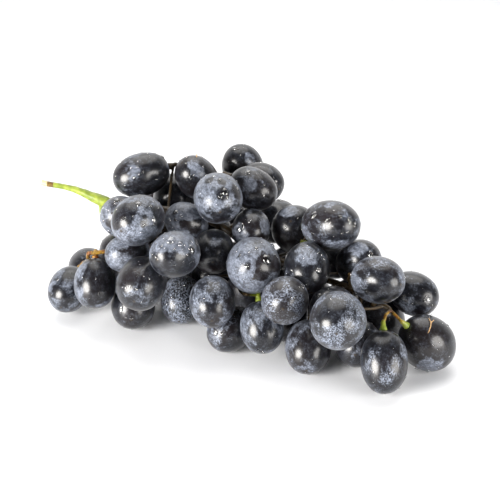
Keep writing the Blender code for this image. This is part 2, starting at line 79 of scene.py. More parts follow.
# For each berry: how much bloom it carries, how strongly that is speckled, how dense its fine beads of
# water are, marks of (right, up, reach, bloom added or, below 0, rubbed off) and placed beads of (right,
# up, radius, sag). A reach is a share of the half girth, and a sag a share of the bead's radius. Some
# rub-offs, noted at their berry, are painted shade: bare dark skin put on a side that lies in shadow.
BERRIES = {
    "shoulder_1": (
        0.5, 0.3, 0.7,
        # The wide rub-off at lower right is painted shade on the side in shadow.
        [(0.75, -0.25, 0.8, -0.5), (-0.95, -0.1, 0.35, -0.25), (-0.35, 0.1, 0.4, 0.2)],
        [(-0.25, -0.2, 0.9, 0.2), (-0.03, -0.05, 0.6, 0), (0.15, 0.05, 0.8, 0), (0.72, -0.28, 0.6, 0),
         (0.97, 0.82, 1.3, 0), (-1.12, -0.1, 0.7, 0), (-0.1, 0.3, 0.7, 0), (-0.4, 0.25, 0.5, 0)],
    ),
    "shoulder_2": (
        0.85, 0.2, 1.0,
        [(-0.8, 0.1, 0.4, 0.1)],
        [(-0.15, 0.76, 1.3, 0.2), (-0.8, -0.2, 0.9, 0.2), (-0.76, 0.02, 0.8, 0), (-0.66, 0.3, 0.7, 0),
         (-0.55, -0.7, 0.9, 0.2)],
    ),
    "shoulder_3": (
        0.85, 0.35, 0.5,
        [(-0.5, 0.3, 0.5, -0.9), (-0.85, -0.05, 0.35, -0.5), (0.95, 0.15, 0.45, -0.5),
         (0.28, -0.18, 0.14, -0.6), (0.33, 0.12, 0.12, -0.4), (0.0, 0.62, 0.2, -0.4)],
        [(0.08, 0.62, 1.2, 0.3), (0.7, -0.05, 1.2, 0.8), (-0.43, 0.05, 0.6, 0.2), (0.55, 0.55, 0.8, 0),
         (0.3, -0.2, 0.7, 0), (0.85, 0.45, 0.7, 0)],
    ),
    "shoulder_4": (
        0.45, 0.2, 0.5,
        [(-0.6, 0.0, 0.4, -0.3), (-0.55, -0.6, 0.5, -0.4), (-0.1, 0.6, 0.3, 0.35), (0.2, 0.3, 0.3, 0.2)],
        [(-0.45, 0.98, 0.9, 0), (-0.28, -0.05, 0.8, 0.2), (-0.85, 0.9, 0.7, 0), (0.25, 1.08, 0.9, 0),
         (-0.5, 0.65, 0.6, 0), (-0.12, 0.05, 0.5, 0)],
    ),
    "shoulder_5": (
        0.35, 0.1, 0.2,
        # The rub-off low on it is painted shade on its underside.
        [(0.4, 0.3, 0.35, 0.25), (0.0, -0.4, 0.6, -0.3)],
        [(-0.4, 0.85, 1.0, 0)],
    ),
    "shoulder_6": (
        0.4, 0.2, 0.3,
        [(0.7, 0.0, 0.4, -0.3), (0.2, 0.5, 0.4, 0.2)],
        [(0.68, 0.0, 0.9, 0), (0.6, 0.18, 0.5, 0)],
    ),
    "crown_1": (
        0.9, 0.25, 0.6,
        # The two rub-offs low on it are painted shade on its underside.
        [(0.75, 0.25, 0.3, -0.7), (0.25, 0.12, 0.26, -0.7), (-0.35, 0.7, 0.2, -0.6),
         (0.3, -0.75, 0.3, -0.5), (0.15, 0.65, 0.2, -0.5), (-0.3, -0.8, 0.4, -0.4)],
        [(0.3, 0.2, 1.3, 0.5), (0.12, 0.02, 1.0, 0.3), (0.4, -0.02, 0.7, 0), (0.8, 0.32, 0.9, 0),
         (0.1, 0.7, 0.9, 0), (-0.15, 0.85, 0.7, 0), (0.45, 0.75, 0.7, 0), (-0.35, 0.62, 0.7, 0)],
    ),
    "crown_2": (
        0.45, 0.15, 0.4,
        [(0.6, -0.4, 0.6, -0.35), (-0.1, 0.15, 0.35, 0.3)],
        [(-0.23, 0.76, 1.3, 0.1), (0.55, 0.15, 0.5, 0), (0.52, -0.38, 0.6, 0)],
    ),
    "crown_3": (
        0.95, 0.1, 0.6,
        [(0.45, -0.25, 0.45, -0.45), (-0.1, -0.1, 0.25, -0.4), (-0.5, 0.5, 0.18, -0.4),
         (0.2, 0.7, 0.7, 0.35), (-0.8, -0.2, 0.4, 0.3)],
        [(-0.5, 0.5, 1.0, 0), (-0.25, 0.3, 0.9, 0), (-0.85, 0.05, 1.0, 0.3), (0.5, -0.25, 0.6, 0),
         (-0.55, 0.1, 0.6, 0)],
    ),
    "crown_4": (
        0.5, 0.2, 0.5,
        [(-0.7, -0.3, 0.55, 0.7), (0.1, 0.2, 0.6, -0.2), (0.75, 0.1, 0.4, 0.5)],
        [(-0.55, 0.05, 1.9, 0.4), (-0.1, 0.35, 0.6, 0), (0.45, 0.45, 0.5, 0)],
    ),
    "crown_5": (0.3, 0.2, 0.1, [(0.0, 0.3, 0.4, 0.2)], []),
    "crown_6": (
        1.0, 0.2, 0.8,
        [(-0.35, -0.5, 0.75, -0.9), (0.35, -0.55, 0.75, -0.9), (0.0, 0.35, 0.7, 0.4)],
        [(-0.15, 0.58, 2.0, 0.1), (0.27, 0.42, 1.3, 0), (0.75, 0.2, 1.7, 0.4), (-0.92, 0.0, 0.6, 0),
         (-0.75, -0.12, 0.6, 0), (-0.5, 0.35, 0.7, 0), (0.05, 0.25, 0.6, 0)],
    ),
    # wing_1's rub-off on its right is painted shade on its shaded side.
    "wing_1": (0.8, 0.3, 0.3, [(0.6, 0.2, 0.5, -0.5)], []),
    "wing_2": (0.45, 0.2, 0.2, [], []),
    "wing_3": (0.6, 0.2, 0.2, [(-0.4, -0.15, 0.3, -0.3), (0.1, 0.8, 0.3, -0.2)], [(-0.45, 0.5, 0.8, 0)]),
    "wing_4": (
        0.75, 0.15, 0.15,
        # The wide rub-off on its right is painted shade where neighbours shade it.
        [(0.5, 0.1, 0.95, -0.8), (0.1, -0.7, 0.4, -0.3)],
        [(0.15, 0.25, 0.45, 0)],
    ),
    "wing_5": (0.4, 0.2, 0.1, [], []),
    "wing_6": (
        0.4, 0.2, 0.4,
        [(0.5, -0.4, 0.5, -0.2)],
        [(0.0, -0.55, 0.9, 0), (-0.45, -0.15, 1.0, 0.9), (-0.25, -0.5, 0.6, 0)],
    ),
    "face_1": (
        0.45, 0.25, 0.5,
        [(-0.6, 0.0, 0.4, -0.3), (0.2, 0.8, 0.5, -0.4), (0.1, -0.5, 0.5, 0.05), (0.8, 0.1, 0.5, -0.4)],
        [(-0.35, -0.1, 0.8, 0.2), (-0.1, -0.2, 0.8, 0), (0.02, -0.08, 0.5, 0), (0.4, 0.2, 0.5, 0),
         (-0.36, -0.32, 0.5, 0), (-0.72, -1.0, 1.0, 0.7)],
    ),
    "face_2": (
        0.85, 1.3, 1.5,
        [(0.6, 0.2, 0.35, -0.5), (-0.2, 0.0, 0.4, 0.2)],
        [(-0.1, 0.75, 0.8, 0), (0.2, 0.7, 0.7, 0)],
    ),
    "face_3": (
        0.8, 0.55, 0.2,
        # The rub-off on its right is painted shade on its shaded side.
        [(0.75, 0.1, 0.4, -0.2), (-0.1, -0.5, 0.5, -0.3), (0.1, -0.95, 0.3, -0.3)],
        [(-0.1, -1.12, 1.0, 0)],
    ),
    # face_4's wide rub-off low on its right is painted shade on its underside.
    "face_4": (0.6, 0.7, 0.4, [(0.4, -0.5, 0.9, -0.4)], [(-0.7, -0.12, 1.1, 0.3), (-0.45, -0.15, 0.7, 0)]),
    "face_5": (
        0.65, 0.3, 0.2,
        [(0.35, -0.45, 0.5, -0.55), (0.25, 0.1, 0.2, -0.3), (-0.45, -0.05, 0.25, -0.2)],
        [(-0.2, -1.0, 0.8, 0), (0.05, -1.1, 0.6, 0)],
    ),
    "face_6": (
        0.75, 1.0, 0.4,
        [(0.5, 0.65, 0.35, -0.7), (0.9, 0.15, 0.3, -0.6), (-0.18, -0.35, 0.22, -0.6),
         (-0.4, 0.6, 0.3, -0.5)],
        [(0.38, 0.1, 0.6, 0), (0.75, 0.55, 0.8, 0.4)],
    ),
    "face_7": (
        1.0, 0.25, 0.5,
        [(0.45, 0.0, 0.42, -0.85), (0.3, -0.35, 0.25, -0.6), (0.85, 0.05, 0.3, -0.6),
         (-0.2, 0.0, 0.13, -0.5)],
        [(0.48, 0.2, 2.1, 0.2), (-0.25, -0.03, 1.0, 0.2), (-0.5, 0.35, 0.8, 0), (0.1, 0.62, 0.9, 0.3),
         (0.8, 0.35, 0.8, 0), (0.72, 0.78, 1.2, 0.2), (-1.0, 0.1, 0.8, 0), (-0.85, -0.3, 0.6, 0)],
    ),
    "ridge_1": (
        0.3, 0.1, 0.2,
        [(-0.35, 0.75, 0.35, 0.6), (0.2, -0.4, 0.8, -0.3)],
        [(-0.45, 0.05, 0.6, 0.3)],
    ),
    "ridge_2": (
        0.55, 0.5, 0.5,
        [(-1.1, -0.4, 0.4, 0.5), (0.3, -0.85, 0.4, 0.35), (0.0, 0.4, 0.5, -0.3), (0.2, -0.3, 0.4, -0.3),
         (-0.1, 0.8, 0.2, 0.3)],
        [(-0.72, 0.38, 1.5, 0.4), (0.3, 0.3, 0.8, 0.2), (0.68, 0.18, 1.0, 0.4), (-0.78, -0.35, 0.7, 0),
         (0.88, 0.05, 0.7, 0), (0.6, -0.3, 0.6, 0), (-0.2, 0.2, 0.6, 0), (0.4, -0.35, 0.6, 0)],
    ),
    "ridge_3": (
        0.45, 0.3, 0.5,
        [(0.1, -0.5, 0.6, -0.35), (0.0, 0.6, 0.5, 0.3), (0.45, -0.1, 0.2, -0.5)],
        [(0.45, -0.1, 1.5, 0), (0.55, 0.62, 1.0, 0.5), (-0.7, -0.1, 0.7, 0), (0.7, 0.4, 0.6, 0)],
    ),
    "ridge_4": (0.55, 0.2, 0.3, [(0.4, 0.1, 0.4, -0.4), (-0.1, 0.6, 0.4, 0.3)], [(0.48, 0.3, 1.2, 0.7)]),
    "tip_1": (
        0.7, 0.5, 0.15,
        [(0.2, -0.1, 0.65, -0.6), (0.1, -0.8, 0.4, -0.4), (0.75, 0.1, 0.3, 0.1)],
        [(-0.55, -0.45, 0.5, 0)],
    ),
    "tip_2": (
        0.5, 0.4, 0.3,
        [(0.55, -0.15, 0.4, -0.5), (-0.4, -0.45, 0.4, 0.3)],
        [(0.5, -0.25, 1.7, 0.2), (-0.2, -0.45, 0.6, 0), (0.75, -0.5, 0.6, 0)],
    ),
    "tip_3": (
        0.42, 0.4, 0.3,
        [(0.0, -0.85, 0.45, 0.5), (0.4, 0.1, 0.5, -0.15)],
        [(0.0, -1.02, 1.0, 0), (-0.3, -0.98, 0.7, 0), (0.35, -0.9, 0.6, 0), (-0.45, -1.06, 1.0, 0),
         (0.75, 0.65, 0.7, 0), (0.28, -0.2, 0.4, 0)],
    ),
    "tip_4": (
        0.48, 0.8, 0.2,
        [(0.7, 0.35, 0.5, 0.18), (0.0, 0.9, 0.6, -0.3), (-0.6, -0.3, 0.4, -0.05), (0.1, -0.6, 0.5, 0.1)],
        [(0.85, -0.6, 0.8, 0), (0.6, -1.05, 0.7, 0)],
    ),
    "tip_5": (0.8, 0.8, 0.15, [(-0.4, 0.4, 0.5, -0.85), (0.0, -0.9, 0.3, -0.1)], []),
    # tip_6's wide rub-off on its right is painted shade where its neighbour shades it.
    "tip_6": (0.7, 0.4, 0.1, [(0.55, 0.0, 0.85, -0.7)], [(-0.1, -1.15, 0.9, 0)]),
    "tip_7": (0.4, 0.3, 0.1, [], []),
}
OTHER_BERRIES = (0.62, 0.45, 0.35)  # bloom, speckle and fine beads of the berries at the back and inside
INNER_PAINTED_SHADE = (1.1, -0.6)  # reach and change of the bloom taken off their front, towards the viewer: painted shade on the inner berries seen through the gaps
OTHER_MARKS = 5  # marks strewn on each of them; a listed berry keeps those that fall on its back
OTHER_BEADS = 3  # and beads
# What is left to chance there: more or less bloom, a mark's reach and change, a bead's radius and sag.
CHANCE = {
    "bloom": (-0.15, 0.2),
    "reach": (0.3, 0.7),
    "change": (-0.8, 0.3),
    "radius": (0.4, 1.3),
    "sag": (0.0, 0.4),
}
BACK = 0.3  # cosine of the widest angle from straight back that counts as a berry's back
MARK_SPREAD = 1.35  # a mark fades to nothing at this many times its reach
MARK_EDGE = 1.8  # and the higher this is, the sharper its edge
ADDED_BLOOM = 1.6  # how much more a mark counts when it adds bloom
WET_RUB = 0.35  # bloom lost under a bead of water
WET_REACH = 1.1  # how many radii out from the bead's middle that goes
WET_EDGE = 2.5  # how sharp its edge is
STREAK = 0.78  # patterns in the bloom are drawn out along the berry by one over this

# The flattened balls that swell the seat of a berry: how far out from its stem end, radius, thickness.
SEAT = [(0.25, 1.85, 0.8), (1.3, 1.5, 1.3), (2.9, 1.15, 2.0)]

GREEN_STALK_THEN_SHADE = (33.0, 9.0)  # how far in from the cut end the stalk is green, and how slowly that ends; past it the inner stem is painted dark brown as shade
STALK_RINGS = 4.2  # spacing of the rings of points along the stalk
PEELED = 3.4  # length of the pale, peeled stub at the cut end
PEEL_EDGE = 0.4  # length over which the stub turns into bark
SINGED = (4.6, 1.5)  # the dry brown ring behind it: how far in, and half its width
SINGED_FADE = 1.5  # the ring fades to nothing at this many times that
SINGED_RUST = 0.35  # share of rust in it
# The stalk swells where it enters the bunch: how far in from the cut end, and its radius there.
SWELLING = [(13.0, 1.5), (19.0, 1.85), (24.0, 2.3), (28.0, 2.75), (32.0, 2.9)]
BARK_SIZES = {"mottle": 2.6, "fine": 0.5, "pores": 1.5}  # patches, flecks, and the spacing of the pores
BALL_STEP = 0.6  # spacing of the balls that make the swelling and the spur
SPUR = (29.0, 6.2, 1.35, 0.8)  # a broken side twig: how far in, its length, its radius at each end
# The rest of the inner bark is painted dark brown as shade. Where it is green instead (below 0), and where
# it is rusty: by which berry, how far out from its stem end, reach and change.
GREEN_PLACES = [
    ("tip_3", 1.0, 4.2, -1.0),
    ("tip_4", 1.0, 5.0, -1.0),
    ("ridge_2", 2.0, 5.0, -0.7),
    ("ridge_3", 2.0, 5.0, -0.6),
    ("face_5", 2.0, 6.0, -0.7),
    ("tip_5", 3.0, 6.0, -0.5),
    ("crown_3", 1.0, 4.0, -0.4),
]
RUSTY_PLACES = [
    ("wing_3", 2.0, 6.0, 0.8),
    ("wing_4", 3.0, 8.0, 0.9),
    ("wing_5", 3.0, 6.0, 0.8),
    ("tip_3", 7.5, 4.5, 0.9),
    ("tip_4", 8.0, 4.5, 0.9),
]
PLACE_FADE = 1.4  # a green or rusty place fades to nothing at this many times its reach
STRAND_BALLS = 14  # balls along each stretch of a withered style
FIBRES = 0.7  # size of the tan and brown streaks of its fibres
LARGE_BEAD = (20, 10)  # segments and rings of a listed bead of water
FINE_BEAD = (8, 5)  # and of a fine one, of which there are hundreds
SWAY_SIZE = 1.8  # size of the waves that make the beads uneven
DEW_SPREAD = (0.75, 0.5)  # share of its fine beads at a berry's mid height, and what its top adds
# What the points of the wet skins carry: how dense the fine beads are, and the shape of a placed bead.
WATER_DATA = {
    "dew": "FLOAT",
    "bead_radius": "FLOAT",
    "bead_sag": "FLOAT",
    "bead_normal": "FLOAT_VECTOR",
}

# The round softboxes, in metres from the bunch.
SIDE_LAMPS = (0.6, 1.12, 0.12)  # how far towards the viewer, and how far sideways and down as shares of it
TOP_LAMP = (0.8, 0.35)  # how far up, and how far away from the viewer as a share of it
LAMP_SIZES = {"left": 0.54, "right": 0.68, "top": 0.8}
LAMP_TINT = (1.0, 0.975, 0.94)  # a little warm
BACKDROP = (0.1, 0.7)  # cosines of the angle from straight back where the white wall starts and is full
TABLE = 4.0  # half the width of the table top, in metres


def strand(*ends):
    """Points along a line of (right, up, lift, radius) rows, close enough to join up."""
    rows = np.array(ends)
    steps = np.linspace(0, len(rows) - 1, STRAND_BALLS * (len(rows) - 1))
    return [[np.interp(step, range(len(rows)), column) for column in rows.T] for step in steps]


# Withered styles: on which berry, and their strands of (right, up, lift off the skin, radius).
STYLES = [
    ("tip_3", strand((-0.07, 0.42, 0.1, 0.22), (0.02, 0.62, 0.5, 0.3), (0.05, 0.78, 0.5, 0.32))),
    ("tip_3", strand((0.05, 0.76, 0.5, 0.32), (-0.02, 0.9, 0.5, 0.22))),
    ("tip_3", strand((0.05, 0.76, 0.5, 0.32), (0.17, 0.84, 0.4, 0.2))),
    ("shoulder_4", strand((0.02, 0.97, 0.2, 0.25), (0.0, 1.05, 0.9, 0.25))),
]


def linear(code):
    """The linear RGBA of an sRGB hex colour."""
    values = [int(code[k : k + 2], 16) / 255 for k in (1, 3, 5)]
    return [v / 12.92 if v <= 0.04045 else ((v + 0.055) / 1.055) ** 2.4 for v in values] + [1.0]


def colour(name, code, what):
    """A colour, whose default is an sRGB hex code."""
    return bpy.props.FloatVectorProperty(
        name=name, description=what, default=linear(code), size=4, subtype="COLOR", min=0, max=1
    )


def length(name, default, what):
    """A length in millimetres."""
    return bpy.props.FloatProperty(name=name, description=what + ", in mm", default=default, min=0.01)


def share(name, default, what):
    """A share from 0 to 1."""
    return bpy.props.FloatProperty(
        name=name, description=what, default=default, min=0, max=1, subtype="FACTOR"
    )


class GrapeSkinSettings(bpy.types.PropertyGroup):
    skin: colour("Skin", "#0b0b10", "Colour of the ripe skin where the bloom is rubbed off")
    ripe_side: colour("Ripe side", "#161112", "Warmer colour of the skin that hung in the shade")
    bloom: colour("Bloom", "#8b93a3", "Colour of the waxy bloom where it lies thickest")
    scar: colour("Blossom scar", "#2e2720", "Colour of the dry dot at the blossom end")
    patch: length("Patch size", 7.0, "Size of the larger bloomed patches")
    cloud: length("Cloud size", 2.4, "Size of the clouding within a patch")
    grain: length("Grain size", 0.62, "Size of the finest speckles of the bloom")
    dot: length("Dot spacing", 2.6, "Spacing of the small dark dots in the bloom")
    warm_side: length("Side size", 22.0, "Size of the warmer side")
    unevenness: length("Unevenness", 0.13, "How far the skin strays from a true oval")


class StemSettings(bpy.types.PropertyGroup):
    green: colour("Green bark", "#93a03a", "Colour of the young bark")
    deep: colour("Deep green", "#6c7d22", "Colour of the bark in its grooves")
    # This brown is also painted on the inner stem as shade.
    brown: colour("Brown bark", "#33260f", "Colour of the bark that has turned woody")
    rust: colour("Rusty bark", "#94511a", "Colour of the bark that is just turning")
    ochre: colour("Ochre bark", "#bf9430", "Colour of its paler patches")
    wood: colour("Cut wood", "#dcc196", "Colour of the peeled end")
    voxel: length("Mesh size", 0.385, "Spacing of the finished stem's mesh")


class StyleSettings(bpy.types.PropertyGroup):
    tan: colour("Dry tan", "#e2c08e", "Colour of the dry fibres")
    brown: colour("Dry brown", "#7a4a22", "Colour of the hollows between them")
    voxel: length("Mesh size", 0.16, "Spacing of the finished mesh")


class WaterSettings(bpy.types.PropertyGroup):
    density: bpy.props.FloatProperty(
        name="Fine beads", description="Fine beads for each square centimetre", default=6.5, min=0
    )
    smallest: length("Smallest bead", 0.24, "Radius of the smallest fine bead")
    largest: length("Largest bead", 0.6, "Radius of the largest fine bead")
    height: share("Height", 0.62, "Height of a bead as a share of its radius")
    wobble: length("Wobble", 0.35, "How far the edge of a bead strays from round")
    seed: bpy.props.IntProperty(name="Seed", description="Sets where the fine beads fall", default=4)


class StageSettings(bpy.types.PropertyGroup):
    floor: colour("Floor", "#eef0f4", "Colour of the table top")
    left: bpy.props.FloatProperty(name="Left light", description="Power in watts", default=22.0, min=0)
    right: bpy.props.FloatProperty(name="Right light", description="Power in watts", default=12.0, min=0)
    top: bpy.props.FloatProperty(name="Top light", description="Power in watts", default=4.2, min=0)
    room: bpy.props.FloatProperty(name="Room", description="Light of the room", default=0.04, min=0)
    backdrop: bpy.props.FloatProperty(
        name="Backdrop", description="Light of the white wall behind", default=1.45, min=0
    )
    lens: bpy.props.FloatProperty(name="Lens", description="Focal length in mm", default=107.3, min=10)
    distance: bpy.props.FloatProperty(
        name="Distance", description="From the camera to the bunch", default=0.7, unit="LENGTH"
    )


# --------------------------------------------------------------------------------------- helpers


def view_axes():
    """The right, up and towards-the-viewer directions of the bunch's front view."""
    turn, height = (math.radians(v) for v in FRONT)
    towards = np.array(
        [math.sin(turn) * math.cos(height), -math.cos(turn) * math.cos(height), math.sin(height)]
    )
    right = np.array([math.cos(turn), math.sin(turn), 0.0])
    return right, np.cross(towards, right), towards


def smooth(values):
    """Eases 0..1 values, and holds them outside that range."""
    values = np.clip(values, 0, 1)
    return values * values * (3 - 2 * values)


def add(tree, kind, inputs=(), **settings):
    """Adds a node with its settings and its inputs, which are given in order, or by name or number.

    An input is a plain value, a socket, or a node, which stands for the first output that it uses.
    """
    node = tree.nodes.new(kind)
    for name, value in settings.items():
        setattr(node, name, value)
    for key, value in inputs.items() if isinstance(inputs, dict) else enumerate(inputs):
        if isinstance(value, bpy.types.Node):
            value = next(output for output in value.outputs if output.enabled)
        if isinstance(value, bpy.types.NodeSocket):
            tree.links.new(value, node.inputs[key])
        else:
            node.inputs[key].default_value = value
    return node


def new_material(name):
    """An empty node material, its tree and its output."""
    material = bpy.data.materials.new(name)
    material.use_nodes = True
    material.node_tree.nodes.clear()
    return material, material.node_tree


def new_object(name, mesh, *materials):
    """Links an object for this mesh, shaded smooth, with these materials."""
    piece = bpy.data.objects.new(name, mesh)
    bpy.context.scene.collection.objects.link(piece)
    for material in materials:
        mesh.materials.append(material)
    mesh.shade_smooth()
    return piece


def mesh_from(name, points, faces):
    mesh = bpy.data.meshes.new(name)
    mesh.from_pydata([tuple(p) for p in points], [], faces)
    mesh.update()
    return mesh


def store(mesh, name, values, kind="FLOAT"):
    """Stores one value for each vertex."""
    field = "vector" if kind == "FLOAT_VECTOR" else "value"
    layer = mesh.attributes.new(name, kind, "POINT")
    layer.data.foreach_set(field, np.asarray(values, np.float32).ravel())


def corners(mesh):
    """The places of a mesh's corners."""
    flat = np.zeros(len(mesh.vertices) * 3, np.float32)
    mesh.vertices.foreach_get("co", flat)
    return flat.reshape(-1, 3).astype(float)


def finished(piece):
    """Turns a piece's modifiers into plain mesh."""
    graph = bpy.context.evaluated_depsgraph_get()
    mesh = bpy.data.meshes.new_from_object(piece.evaluated_get(graph))
    piece.modifiers.clear()
    old, piece.data = piece.data, mesh
    mesh.name = piece.name
    bpy.data.meshes.remove(old)
    return piece


def even_skin(piece, voxel, rounds):
    """Joins the overlapping shapes of a piece under one smooth skin; the voxel is in mm."""
    remesh = piece.modifiers.new("even", "REMESH")
    remesh.mode = "VOXEL"
    remesh.voxel_size = voxel * MM
    soften = piece.modifiers.new("soften", "SMOOTH")
    soften.factor = 0.5
    soften.iterations = rounds
    finished(piece)
    piece.data.shade_smooth()


# --------------------------------------------------------------------------------------- berries


def node_points(node):
    """The places of a CAD node's corners, each given once."""
    return np.unique(np.round(corners(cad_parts[node].data), 6), axis=0)


class Berry:
    """The middle, blossom-end direction and semi-axes of a berry, taken from its CAD node, in metres."""

    def __init__(self, node, stem_points):
        points = node_points(node)
        self.node = node
        self.short = node.removeprefix("berry_")
        self.middle = points.mean(0)
        self.axis = np.linalg.eigh(np.cov((points - self.middle).T))[1][:, 2]
        along = (points - self.middle) @ self.axis
        self.along = np.abs(along).max()
        across = points - self.middle - np.outer(along, self.axis)
        self.across = np.linalg.norm(across, axis=1).max()
        ends = [self.middle - self.axis * self.along, self.middle + self.axis * self.along]
        gaps = [np.linalg.norm(stem_points - end, axis=1).min() for end in ends]
        if gaps[1] < gaps[0]:
            self.axis = -self.axis
        self.stem_end = self.middle - self.axis * self.along
        seed = sum(ord(letter) * (k + 7) for k, letter in enumerate(node))
        self.random = np.random.default_rng(seed)
        self.load_marks()

    def load_marks(self):
        """The bloom, speckle, dew, marks and beads from the table, or drawn at random."""
        if self.short in BERRIES:
            self.bloom, self.speckle, self.dew, self.marks, self.beads = BERRIES[self.short]
            self.marks = [(self.spot(m[0], m[1]), m[2], m[3]) for m in self.marks]
            self.beads = [(self.spot(b[0], b[1]), b[2], b[3]) for b in self.beads]
        else:
            self.bloom, self.speckle, self.dew = OTHER_BERRIES
            self.bloom += self.draw("bloom")
            # Their front, towards the viewer, loses bloom: painted shade, so they look dark through the
            # gaps.
            self.marks = [(self.surface(view_axes()[2]), *INNER_PAINTED_SHADE)]
            self.beads = []
        for _ in range(OTHER_MARKS):
            away = self.random.normal(size=3)
            reach, change = self.draw("reach"), self.draw("change")
            if self.unseen(away):
                self.marks.append((self.surface(away), reach, change))
        for _ in range(OTHER_BEADS):
            away = self.random.normal(size=3)
            radius = self.draw("radius")
            if self.unseen(away):
                self.beads.append((self.surface(away), radius, self.draw("sag")))

    def draw(self, what):
        return self.random.uniform(*CHANCE[what])

    def unseen(self, away):
        """Whether the skin in this direction is left to chance: the back of a listed berry, or any."""
        backwards = -view_axes()[2] @ away
        return self.short not in BERRIES or backwards > BACK * np.linalg.norm(away)

    def inverse(self):
        """The matrix M of the berry's oval: a place p from the middle is on the skin if p @ M @ p is 1."""
        outer = np.outer(self.axis, self.axis)
        return (np.eye(3) - outer) / self.across**2 + outer / self.along**2

    def surface(self, away):
        """The point of the skin in this direction from the middle."""
        return self.middle + away / math.sqrt(away @ self.inverse() @ away)

    def spot(self, right, up):
        """The point of the skin seen this far right of and above the middle from the front."""
        rightwards, upwards, towards = view_axes()
        offset = (rightwards * right + upwards * up) * self.across
        shape = self.inverse()
        a, b, c = towards @ shape @ towards, towards @ shape @ offset, offset @ shape @ offset - 1
        if b * b - a * c < 0:
            return self.surface(offset)
        return self.middle + offset + towards * (math.sqrt(b * b - a * c) - b) / a

    def normal(self, point):
        """The outward direction of the skin at this point of it."""
        slope = self.inverse() @ (point - self.middle)
        return slope / np.linalg.norm(slope)


def berry_mesh(berry, settings):
    """A berry's skin: an oval with a slight egg shape, gentle unevenness, a dimple and a blossom scar."""
    inner = np.linspace(POLE_RINGS[-1], math.pi - POLE_RINGS[-1], BERRY_RINGS)
    rings = np.concatenate([POLE_RINGS[:-1], inner, math.pi - np.array(POLE_RINGS[-2::-1])])
    turns = np.arange(BERRY_SEGMENTS) * 2 * math.pi / BERRY_SEGMENTS
    side = np.cross(berry.axis, ASLANT)
    side /= np.linalg.norm(side)
    other = np.cross(berry.axis, side)
    egg = berry.random.uniform(-EGG, EGG)
    fullness = 2 / berry.random.uniform(*FULLNESS)
    wide = np.sin(rings) ** fullness * (1 + egg * np.cos(rings))
    deep = -np.sign(np.cos(rings)) * np.abs(np.cos(rings)) ** fullness * berry.along
    from_stem = rings * berry.across / MM
    from_tip = (math.pi - rings) * berry.across / MM
    for height, reach, gap in (
        (STEM_DIMPLE[0], STEM_DIMPLE[1], from_stem),
        (-TIP_HOLLOW[0], TIP_HOLLOW[1], from_tip),
        (SCAR_KNOB[0], SCAR_KNOB[1], from_tip),
    ):
        deep += height * MM * np.exp(-((gap / reach) ** 2))
    ring = np.outer(np.cos(turns), side) + np.outer(np.sin(turns), other)
    body = ring[None] * (wide * berry.across)[:, None, None] + (deep[:, None] * berry.axis)[:, None]
    stem_end = -berry.along + STEM_DIMPLE[0] * MM
    tip_end = berry.along + (SCAR_KNOB[0] - TIP_HOLLOW[0]) * MM
    points = np.vstack([berry.axis * stem_end, body.reshape(-1, 3), berry.axis * tip_end])
    points += berry.middle
    waves = np.zeros(len(points))
    for _ in range(SWELLS):
        direction = berry.random.normal(size=3)
        direction /= np.linalg.norm(direction) * berry.random.uniform(*SWELL_SIZES) * MM
        waves += np.sin(points @ direction + berry.random.uniform(0, 6.28))
    outward = points - berry.middle
    outward /= np.linalg.norm(outward, axis=1)[:, None]
    points += outward * (waves * settings.unevenness * MM / SWELL_HEIGHT)[:, None]
    count, rows = BERRY_SEGMENTS, len(rings)
    faces = []
    for k in range(count):
        after = (k + 1) % count
        faces.append((0, 1 + after, 1 + k))
        last = 1 + (rows - 1) * count
        faces.append((last + k, last + after, len(points) - 1))
        for row in range(rows - 1):
            start = 1 + row * count
            faces.append((start + k, start + after, start + count + after, start + count + k))
    mesh = mesh_from(f"grape_{berry.short}", points, faces)
    local = (points - berry.middle) @ np.column_stack([side, other, berry.axis * STREAK])
    store(mesh, "skin_place", local / MM + berry.random.uniform(0, PATTERN_ROOM, 3), "FLOAT_VECTOR")
    bloom = np.full(len(points), berry.bloom)
    # Some rub-offs, and the rub on the front of the inner berries, are painted shade.
    for spot, reach, change in berry.marks:
        near = 1 - np.linalg.norm(points - spot, axis=1) / (reach * berry.across * MARK_SPREAD)
        bloom += (change * ADDED_BLOOM if change > 0 else change) * smooth(near * MARK_EDGE)
    for spot, size, sag in berry.beads:
        near = WET_REACH - np.linalg.norm(points - spot, axis=1) / (size * MM)
        bloom -= WET_RUB * smooth(near * WET_EDGE)
    tip = berry.middle + berry.axis * berry.along
    store(mesh, "bloom", bloom)
    store(mesh, "speckle", np.full(len(points), berry.speckle))
    reach, fade = SCAR_COLOUR
    store(mesh, "scar", smooth(fade - np.linalg.norm(points - tip, axis=1) / (reach * MM)))
    return mesh


